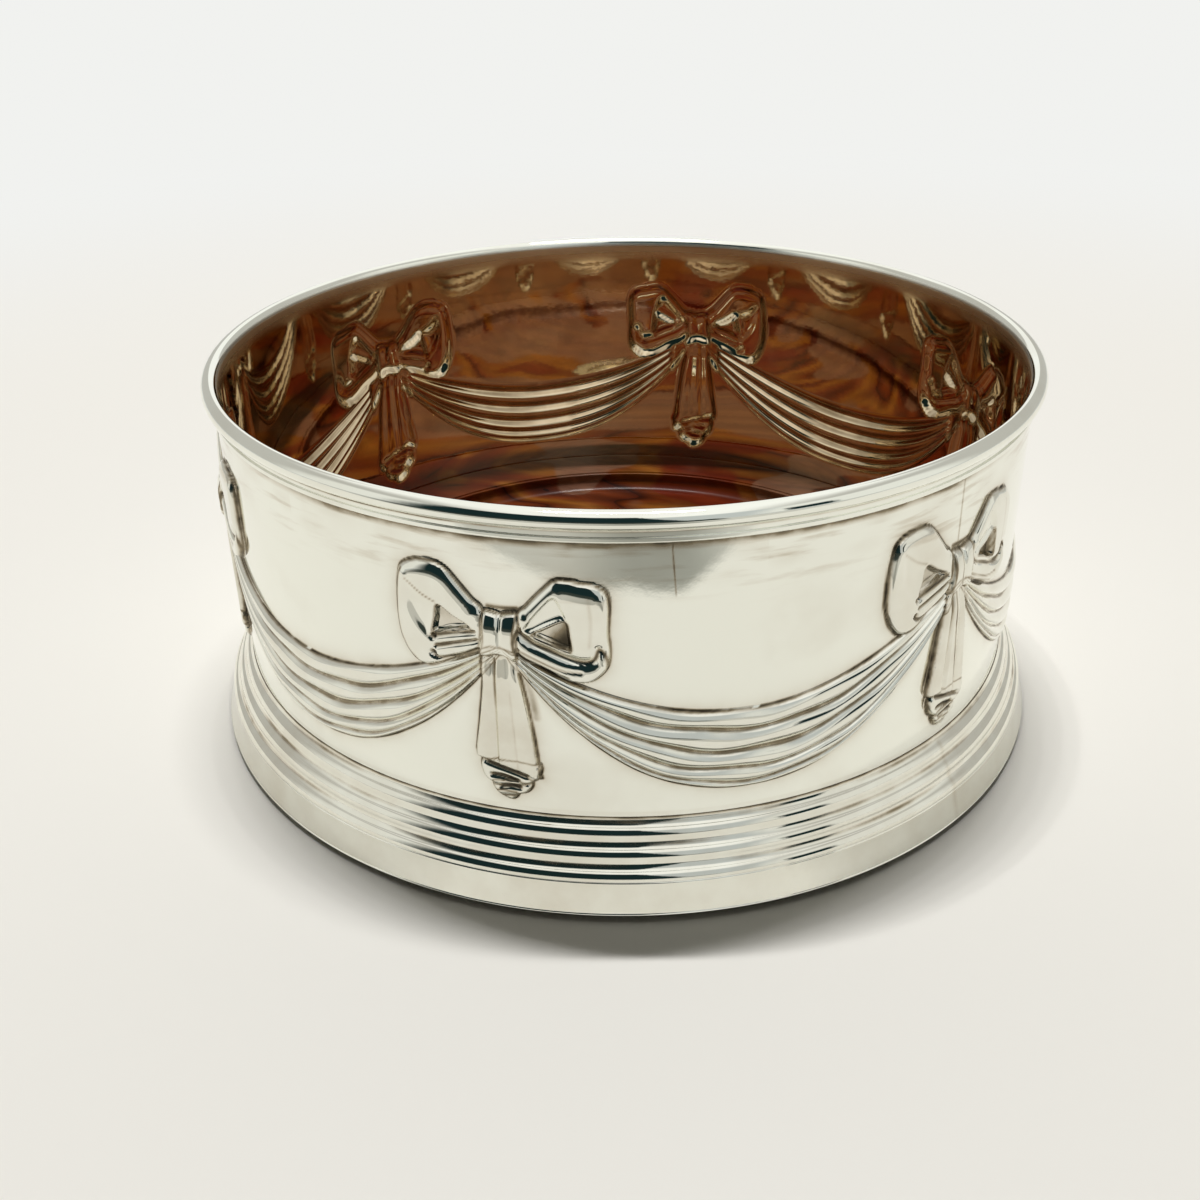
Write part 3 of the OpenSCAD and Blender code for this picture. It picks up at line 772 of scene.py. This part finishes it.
def outside_dirt_and_shade(bow, turn, place, row, dirt_and_shade):
    """The tarnish and painted shade of the outside: that of the stamping, clouds under the rim,
    a line above the foot, and a dark line below the rim's bead, which is partly tarnish at the
    joint and partly a painted shadow that is stronger in front, on the side facing the view.
    The front bow has painted shade along its left edge and a fine crack to the right of it.
    The next bow has the solder seam, which is darker where its ribbons are."""
    across = columns[:, None]
    cloudy = np.sin(0.35 * place + 0.5 * row) * np.sin(0.21 * place - 0.9 * row + bow)
    # Below the bead: tarnish at the joint all round, and a painted shadow that is stronger on the side facing
    # the view.
    facing = np.abs((turn - VIEW_TURN + math.pi) % (2 * math.pi) - math.pi)
    under_bead = 0.8 - 0.62 * smooth((facing - 0.6) / 0.4)
    amounts = [
        dirt_and_shade, 0.08 * np.clip(cloudy, 0, 1) * smooth((row - 44.5) / 5),
        bell(row - FOOT_LINE, FOOT_LINE_W), under_bead * bell(row - BEAD_LINE, BEAD_LINE_W)]
    if bow == FRONT_BOW:
        crack = bell(across - CRACK_MIDDLE + CRACK_LEAN * (row - 45), CRACK_W) * smooth((row - 44.6) / 0.8)
        # The fine crack, and painted shade along the left edge of the front bow's left loop.
        amounts += [0.75 * crack, 0.85 * stroke(place, row, TURNED_AWAY, 0.22)]
    if bow == SEAM_BOW:
        strength = 0.4 + 0.45 * smooth((43.5 - row) / 1.5) * smooth((row - 19) / 4)
        amounts.append(strength * bell(across - np.interp(row, *SEAM_LINE), SEAM_W) * (row > 14))
    return np.maximum.reduce(amounts)


gallery_silver = silver("silver_gallery")
for bow in range(BOWS):
    sides = []
    way = columns + (bow - SEAM_BOW) * 2 * HALF_PITCH
    nudge = smooth((way - SHIFT_STARTS) / SHIFT_OVER) - smooth((way - SHIFT_ENDS) / SHIFT_OVER)
    shifted = columns + SEAM_SHIFT * nudge
    for radius, field, counts in ((OUTER_R, stamp_height, OUTER_ROWS), (INNER_R, stamp_hollow, INNER_ROWS)):
        row = sheet_rows((shifted + HALF_PITCH) % (2 * HALF_PITCH) - HALF_PITCH, counts)
        turn = np.broadcast_to(columns[:, None], row.shape) / OUTER_R + bow * 2 * math.pi / BOWS
        place = np.broadcast_to(shifted[:, None], row.shape)
        grid = bend(radius + look_up(field, place, row), turn, row + SILVER_Z)
        along, up = (look_up(slope, place, row) for slope in slopes(field))
        outward = np.stack([
            np.sin(turn) - along * np.cos(turn), -np.cos(turn) - along * np.sin(turn), -up], -1)
        outward /= np.linalg.norm(outward, axis=-1, keepdims=True)
        dirt_and_shade = look_up(stamp_tarnish_and_shade, place, row)
        if radius == OUTER_R:
            dirt_and_shade = outside_dirt_and_shade(bow, turn, place, row, dirt_and_shade)
            inside, worn = np.zeros(row.shape), np.zeros(row.shape)
            handled = smooth((row - 42) / 7) * (0.35 + 0.65 * np.abs(np.sin(0.12 * place + 2 * bow)))
        else:
            dirt_and_shade = np.maximum(0.4 * dirt_and_shade, 0.34 * smooth(look_up(strands, place, row) / 0.5))
            grid, outward, dirt_and_shade, row = grid[:, ::-1], -outward[:, ::-1], dirt_and_shade[:, ::-1], row[:, ::-1]
            inside, handled = np.ones(row.shape), np.zeros(row.shape)
            worn = smooth((row - SATIN_FROM) / SATIN_OVER)
        sides.append((grid, outward, dirt_and_shade, inside, worn, handled))
    grid, outward, dirt_and_shade, inside, worn, handled = (np.concatenate(pair, axis=1) for pair in zip(*sides))
    piece = skin("gallery_bow_%d" % (bow + 1), grid, wrap_u=False, normals=outward)
    for layer, values in (("tarnish_and_shade", dirt_and_shade), ("inside", inside), ("worn", worn), ("handled", handled)):
        paint(piece, layer, values)
    piece.data.materials.append(gallery_silver)
    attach(piece, "root")
    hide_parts("gallery")


# The rim: a rolled edge with a small bead under it, drawn as one wire, soldered over
# the top of the sheet and burnished bright. Under the roll runs a dark line: dirt all
# round, and a painted dark reflection that is stronger on the left side of the view.
RIM_SIDES = 480


def arc_points(centre, radius, start, end, count):
    """Points on part of a circle, from one angle in degrees to another."""
    angle = np.radians(np.linspace(start, end, count))
    return np.stack([centre[0] + radius * np.cos(angle), centre[1] + radius * np.sin(angle)], -1)


def turned(name, profile, sides):
    """A closed profile of (radius, height) carried round the axis. A profile that is drawn
    clockwise, up the inside and down the outside, gives faces that look outwards."""
    angle = np.linspace(0, 2 * math.pi, sides, endpoint=False)
    profile = np.array(profile)[::-1]
    grid = bend(profile[None, :, 0], angle[:, None], profile[None, :, 1])
    return skin(name, grid)


def line_points(start, end, count):
    """Points along a straight stretch, its two ends left out."""
    share = (np.arange(count) + 1)[:, None] / (count + 1)
    return np.array(start) * (1 - share) + np.array(end) * share


GROOVE_DROP, GROOVE_W = 1.48, 0.14
roll_r, roll_z, roll_x = 1.3, SHEET_TOP + 0.05, OUTER_R + 0.3
skirt_x, bead_x = OUTER_R + 0.38, OUTER_R + 0.6
bead_top, bead_low = roll_z - 2.2, roll_z - 2.95
seat_x = OUTER_R + 0.05
squeeze = (roll_x - INNER_R) / roll_r
inner_roll = arc_points((0, roll_z), roll_r, 172, 90, 24)[:-1] * [squeeze, 1] + [roll_x, 0]
rim_profile = np.vstack([
    [(INNER_R, roll_z + 0.01), (INNER_R, roll_z + 0.1)],
    inner_roll,
    arc_points((roll_x, roll_z), roll_r, 90, -66, 36),
    [(skirt_x + 0.08, roll_z - 1.28), (skirt_x, roll_z - 1.42)],
    line_points((skirt_x, roll_z - 1.42), (skirt_x, bead_top - 0.06), 6),
    [(skirt_x, bead_top - 0.06), (skirt_x + 0.03, bead_top)],
    arc_points((bead_x - 0.1, bead_top - 0.1), 0.1, 80, 0, 6),
    line_points((bead_x, bead_top - 0.1), (bead_x, bead_low + 0.25), 3),
    arc_points((bead_x - 0.25, bead_low + 0.25), 0.25, 0, -80, 8),
    [(seat_x, bead_low), (seat_x, roll_z)]])
rim = turned("rim_wire", rim_profile, RIM_SIDES)
rim_x, rim_z = rim_profile[::-1].T
rim_wear = 0.9 * (1 - smooth((rim_x - INNER_R - 0.08) / 0.12))
paint(rim, "worn", np.broadcast_to(rim_wear, (RIM_SIDES, len(rim_wear))))
rim_turn = np.linspace(0, 2 * math.pi, RIM_SIDES, endpoint=False)[:, None] - VIEW_TURN
# Under the roll: dirt all round, and a painted dark reflection, stronger on the left side of the view.
left_part = smooth((-np.sin(rim_turn) - 0.1) / 0.4)
under_roll = bell(rim_z - roll_z + GROOVE_DROP, GROOVE_W) * (rim_x > skirt_x - 0.01)
paint(rim, "tarnish_and_shade", (0.35 + 0.5 * left_part) * under_roll)
rim.data.materials.append(silver("silver_rim"))
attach(rim, "root")
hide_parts("rim_wire")


# The foot: three reeds, each a wave of a round and a hollow, above a plain band. It is
# drawn from thicker sheet, with the lip turned in under the wood. It has the solder seam
# too, and dirt in the reeds' hollows and along its top.
FOOT_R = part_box("foot_moulding")[1].x / MM
BAND_H, REEDS, REED_H = 4.65, 3, 2.562
FOOT_SHEET, LIP_W, LIP_T, FOOT_SIDES = 0.9, 2.3, 0.6, 540
FOOT_EDGE, FOOT_GAP = 0.12, 0.05
FLARE_TOP, FLARE_END = math.radians(8), math.radians(20)
FOOT_FILM, TOP_LINE_W, SEAM_PLACE, FOOT_SEAM_W = 0.11, 0.35, 0.6, 0.35
HOLLOW_SHARE, HOLLOW_W = 0.72, 0.3
flare_r = (BAND_H - FOOT_EDGE) / (math.sin(FLARE_END) - math.sin(FLARE_TOP))
band_r = FOOT_R - flare_r * (math.cos(FLARE_TOP) - math.cos(FLARE_END))
reed_step = (band_r - OUTER_R - FOOT_GAP) / REEDS
reed_turn = math.degrees(2 * math.atan(reed_step / REED_H))
reed_r = reed_step / 2 / (1 - math.cos(math.radians(reed_turn)))
flare_x = band_r + flare_r * math.cos(FLARE_TOP)
flare_z = BAND_H + flare_r * math.sin(FLARE_TOP)
foot_front = [
    [(FOOT_R - LIP_W, LIP_T), (FOOT_R - LIP_W, 0)],
    arc_points((FOOT_R - FOOT_EDGE, FOOT_EDGE), FOOT_EDGE, -90, 0, 8),
    arc_points(
        (flare_x, flare_z), flare_r, 180 + math.degrees(FLARE_END), 180 + math.degrees(FLARE_TOP), 20)]
foot_back = []
for reed in range(REEDS):
    x, z = band_r - reed * reed_step, BAND_H + reed * REED_H
    foot_front.append(arc_points((x - reed_r, z), reed_r, 0, reed_turn, 14))
    foot_front.append(arc_points((x - reed_step + reed_r, z + REED_H), reed_r, 180 + reed_turn, 181, 14))
    foot_back += [(x - FOOT_SHEET, LIP_T if reed == 0 else z - REED_H), (x - FOOT_SHEET, z)]
foot_top = z + REED_H
foot_back = [(OUTER_R + FOOT_GAP, foot_top - 0.3), (OUTER_R + FOOT_GAP, z)] + foot_back[::-1]
foot_profile = np.vstack(foot_front + [foot_back]) + [0, SILVER_Z]
foot = turned("foot_moulding", foot_profile[::-1], FOOT_SIDES)
foot_turn = np.linspace(0, 2 * math.pi, FOOT_SIDES, endpoint=False)[:, None]
foot_z = foot_profile[None, :, 1]
from_seam = (foot_turn - SEAM_BOW * 2 * math.pi / BOWS) * FOOT_R + SEAM_PLACE
foot_dirt = np.maximum(0.3 * bell(from_seam, FOOT_SEAM_W), FOOT_FILM)
foot_dirt = np.maximum(foot_dirt, 0.8 * bell(foot_z - foot_top - SILVER_Z, TOP_LINE_W))
for reed in range(REEDS):
    hollow = SILVER_Z + BAND_H + (reed + HOLLOW_SHARE) * REED_H
    grain = 0.5 + 0.5 * np.sin(5 * foot_turn + 2 * reed) * np.sin(13 * foot_turn + reed)
    foot_dirt = np.maximum(foot_dirt, 0.6 * grain * bell(foot_z - hollow, HOLLOW_W))
paint(foot, "tarnish_and_shade", foot_dirt)
foot.data.materials.append(silver("silver_foot"))
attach(foot, "root")
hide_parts("foot_moulding")


# The base: one disc of rosewood-like timber, turned with a flat border, a fine groove
# and a dish for the bottle, stained red-brown and French polished.
WOOD_LOW, WOOD_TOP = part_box("wood_base")[0].z / MM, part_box("wood_base")[1].z / MM
FLANGE_R, FLANGE_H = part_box("wood_base")[1].x / MM, 4.0
PLUG_R, DISH_R, DISH_DEPTH, DISH_COVE = INNER_R - 0.05, 51.0, 3.0, 2.2
BOSS_R, BOSS_SEAT = 7.6, 0.6
dish_z = WOOD_TOP - DISH_DEPTH
wood_profile = np.vstack([
    [(0, WOOD_LOW)],
    line_points((0, WOOD_LOW), (FLANGE_R, WOOD_LOW), 10),
    [(FLANGE_R, WOOD_LOW), (FLANGE_R, WOOD_LOW + FLANGE_H)],
    [(PLUG_R, WOOD_LOW + FLANGE_H), (PLUG_R, WOOD_TOP - 0.1)],
    arc_points((PLUG_R - 0.3, WOOD_TOP - 0.3), 0.3, 10, 90, 5),
    line_points((PLUG_R - 0.3, WOOD_TOP), (DISH_R + 1.05, WOOD_TOP), 14),
    arc_points((DISH_R + 0.7, WOOD_TOP), 0.35, 0, -180, 9),
    arc_points((DISH_R + 0.15, WOOD_TOP - 0.15), 0.15, 90, 180, 4),
    arc_points((DISH_R - DISH_COVE, dish_z + DISH_COVE), DISH_COVE, 0, -88, 16),
    line_points((DISH_R - DISH_COVE, dish_z), (BOSS_R + 0.1, dish_z), 30),
    [(BOSS_R + 0.05, dish_z), (BOSS_R + 0.05, dish_z - BOSS_SEAT), (0, dish_z - BOSS_SEAT)]])


def disc(name, profile, sides):
    """A profile that starts and ends on the axis, carried round it. The points on the axis
    are one point each, so the ends close."""
    profile = np.array(profile)
    angle = np.linspace(0, 2 * math.pi, sides, endpoint=False)
    ring = profile[1:-1]
    count = len(ring)
    grid = bend(ring[None, :, 0], angle[:, None], ring[None, :, 1])
    i, j = np.meshgrid(np.arange(sides), np.arange(count - 1), indexing="ij")
    i1 = (i + 1) % sides
    quads = np.stack([i * count + j, i1 * count + j, i1 * count + j + 1, i * count + j + 1], -1)
    quads = quads.reshape(-1, 4)
    around = np.arange(sides)
    after = (around + 1) % sides
    base = sides * count
    low = np.stack([np.full(sides, base), after * count, around * count], -1)
    high = np.stack([np.full(sides, base + 1), around * count + count - 1, after * count + count - 1], -1)
    points = np.vstack([grid.reshape(-1, 3), [[0, 0, profile[0, 1]], [0, 0, profile[-1, 1]]]]) * MM
    mesh = bpy.data.meshes.new(name)
    mesh.from_pydata(points, [], quads.tolist() + low.tolist() + high.tolist())
    mesh.polygons.foreach_set("use_smooth", np.ones(len(mesh.polygons), bool))
    mesh.set_sharp_from_angle(angle=math.radians(35))
    piece = bpy.data.objects.new(name, mesh)
    bpy.context.scene.collection.objects.link(piece)
    return piece


RING_COLOURS = (
    (0.0, (0.02, 0.004, 0.002, 1)), (0.09, (0.13, 0.024, 0.004, 1)), (0.45, (0.27, 0.095, 0.014, 1)),
    (0.8, (0.17, 0.035, 0.008, 1)), (1.0, (0.07, 0.013, 0.005, 1)))
RING_COUNT = 9.0
# The mauve is a painted sheen; the deep red is the timber's own tone.
MAUVE_SHEEN_PAINT, DEEP_RED = (0.22, 0.105, 0.06, 1), (0.13, 0.01, 0.003, 1)
GRAIN_PLACE, GRAIN_TURN, GRAIN_SCALE = (0.02, -0.05, 0.09), (0.12, 0.05, 0.35), (14, 52, 52)


def polished_wood():
    """Rosewood: growth rings cut at a slant make nested flames. The rings are the whole steps
    of a slow noise that is stretched along the grain, and each starts with a dark line. A
    finer noise shades them. Patches of deep red lie over them, and patches of mauve, which
    are a painted sheen and also get a stronger coat, so that they shine more."""
    material, tree, nodes, shader = new_material("rosewood")
    place = nodes.new("ShaderNodeTexCoord").outputs["Object"]
    slant = nodes.new("ShaderNodeMapping")
    feed(tree, slant, {
        "Vector": place, "Location": GRAIN_PLACE, "Rotation": GRAIN_TURN, "Scale": GRAIN_SCALE})
    grain = slant.outputs["Vector"]
    rings = times(tree, noise(tree, grain, 0.7, 2), RING_COUNT)
    timber = colours_along(tree, math_node(tree, "FRACT", rings), RING_COLOURS)
    shade = ramp(tree, noise(tree, grain, 10, 4), 0.35, 0.7, 0.68, 1.0)
    patches = noise(tree, place, 42, 1)
    # Patches of painted sheen in mauve, which also get a stronger coat below.
    sheen_patch = ramp(tree, patches, 0.53, 0.55)
    timber = mix_colour(tree, times(tree, sheen_patch, 0.75), timber, MAUVE_SHEEN_PAINT)
    timber = mix_colour(tree, ramp(tree, patches, 0.4, 0.44, 0.75, 0.0), timber, DEEP_RED)
    timber = mix_colour(tree, 1.0, timber, shade, "MULTIPLY")
    polish = math_node(tree, "MULTIPLY_ADD", sheen_patch, 0.16, 0.04)
    feed(tree, shader, {
        "Base Color": timber, "Roughness": 0.32, "Specular IOR Level": 0.08, "Coat Weight": polish,
        "Coat Roughness": 0.15})
    return material


wood = disc("wood_base", wood_profile, 360)
wood.data.materials.append(polished_wood())
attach(wood, "root")
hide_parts("wood_base")


# The boss: a disc of silver let into the middle of the dish, with a low dome inside a flat
# edge, and its pin glued into the wood. It is left plain. The pin is the solid's own.
BOSS_EDGE_H, BOSS_EDGE_W, BOSS_ROUND = 0.6, 2.0, 0.2
boss_low, boss_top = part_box("centre_boss")[0].z / MM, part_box("centre_boss")[1].z / MM
edge_z, cap_r = dish_z + BOSS_EDGE_H, BOSS_R - BOSS_EDGE_W
dome = boss_top - edge_z
dome_r = (cap_r**2 + dome**2) / (2 * dome)
spread = math.degrees(math.asin(cap_r / dome_r))
boss_profile = np.vstack([
    [(0, boss_low)],
    line_points((0, boss_low), (BOSS_R, boss_low), 3),
    [(BOSS_R, boss_low), (BOSS_R, dish_z)],
    arc_points((BOSS_R - BOSS_ROUND, edge_z - BOSS_ROUND), BOSS_ROUND, 0, 90, 6),
    line_points((BOSS_R - BOSS_ROUND, edge_z), (cap_r + BOSS_ROUND, edge_z), 3),
    arc_points((cap_r + BOSS_ROUND, edge_z - BOSS_ROUND), BOSS_ROUND, 90, 150, 5),
    arc_points((0, boss_top - dome_r), dome_r, 90 - spread, 90, 28)])
boss = disc("centre_boss", boss_profile, 192)
boss.data.materials.append(silver("silver_boss", painted=False))
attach(boss, "root")
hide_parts("centre_boss")
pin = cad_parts["boss_pin"]
pin.data.materials.clear()
pin.data.materials.append(silver("silver_pin", painted=False))


# The baize: a disc of dark green felt glued under the wood, so that the silver doesn't
# scratch the table.
DARK_FIBRE, LIGHT_FIBRE = (0.006, 0.04, 0.02, 1), (0.02, 0.11, 0.055, 1)
PAD_ROUND, PAD_GAP = 0.3, 0.02


def felt():
    """Green baize: a short nap with tufts of lighter and darker fibre."""
    material, tree, nodes, shader = new_material("green_baize")
    nap = noise(tree, nodes.new("ShaderNodeTexCoord").outputs["Object"], 1400, 4)
    colour = mix_colour(tree, ramp(tree, nap, 0.3, 0.7), DARK_FIBRE, LIGHT_FIBRE)
    feed(tree, shader, {
        "Base Color": colour, "Normal": bump(tree, nap, 0.6, 0.0002), "Roughness": 0.95,
        "Sheen Weight": 0.3})
    return material


PAD_R, PAD_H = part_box("baize_pad")[1].x / MM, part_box("baize_pad")[1].z / MM
pad_profile = np.vstack([
    [(0, 0)], line_points((0, 0), (PAD_R - PAD_ROUND, 0), 20),
    arc_points((PAD_R - PAD_ROUND, PAD_ROUND), PAD_ROUND, -90, 0, 6),
    [(PAD_R, PAD_H - PAD_GAP), (0, PAD_H - PAD_GAP)]])
pad = disc("baize_pad", pad_profile, 360)
pad.data.materials.append(felt())
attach(pad, "root")
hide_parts("baize_pad")
